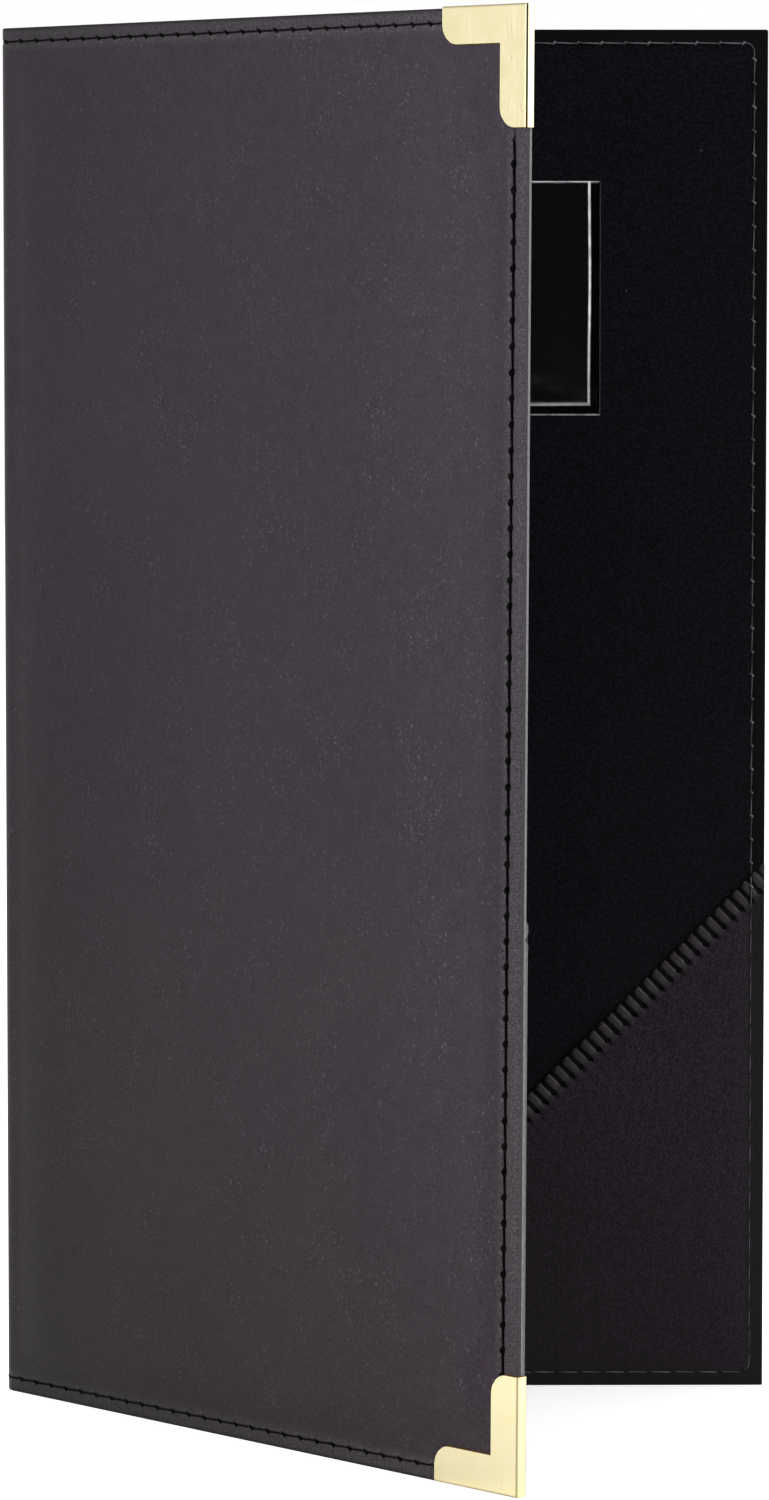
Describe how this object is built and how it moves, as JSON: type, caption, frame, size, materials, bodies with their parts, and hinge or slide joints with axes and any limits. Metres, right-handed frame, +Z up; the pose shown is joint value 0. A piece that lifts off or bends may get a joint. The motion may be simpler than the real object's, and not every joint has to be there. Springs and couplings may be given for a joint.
{
  "type": "guest check presenter",
  "caption": "Tall book-style folder with stitched border, brass corner guards, slanted inner pockets and a clear card pocket, standing part open.",
  "frame": {"origin": "middle of the back cover's bottom edge, on the surface that the folder stands on, at mid-thickness of its outer skin", "axes": "+Z up along the covers, +X from the spine to the back cover's free edge, -Y towards the open side where the front cover swings"},
  "size_m": [0.1424, 0.1106, 0.2544],
  "materials": {
    "leatherette": "fine smooth grain, dull",
    "lining": "smooth matt vinyl",
    "pocket_leatherette": "pebbled grain",
    "greyboard": "uncoated",
    "thread": "twisted polyester",
    "clear_film": "clear, gloss",
    "brass": "pale bright plate"
  },
  "bodies": {
    "back_cover": {"back_cover_skin": "leatherette", "back_board": "greyboard", "back_lining": "lining", "back_pocket": "pocket_leatherette", "back_pocket_whipping": "thread", "card_pocket": "clear_film", "back_outer_stitching": "thread", "back_inner_stitching": "thread"},
    "spine": {"spine_skin": "leatherette", "spine_lining": "lining", "spine_stitching": "thread"},
    "front_cover": {"front_cover_skin": "leatherette", "front_board": "greyboard", "front_lining": "lining", "front_pocket": "pocket_leatherette", "front_pocket_whipping": "thread", "front_outer_stitching": "thread", "front_inner_stitching": "thread", "upper_corner_guard": "brass", "lower_corner_guard": "brass"}
  },
  "joints": [
    {"name": "back_fold", "type": "hinge", "parent": "back_cover", "child": "spine", "pos_m": [-0.07, 0, 0.127], "axis": [0, 0, -1], "range_deg": [-24, 66]},
    {"name": "front_fold", "type": "hinge", "parent": "spine", "child": "front_cover", "pos_m": [-0.07195, -0.00439, 0.127], "axis": [0, 0, -1], "range_deg": [-24, 66]}
  ],
  "couplings": [
    {"joint": "front_fold", "follows": "back_fold", "ratio": 1}
  ]
}
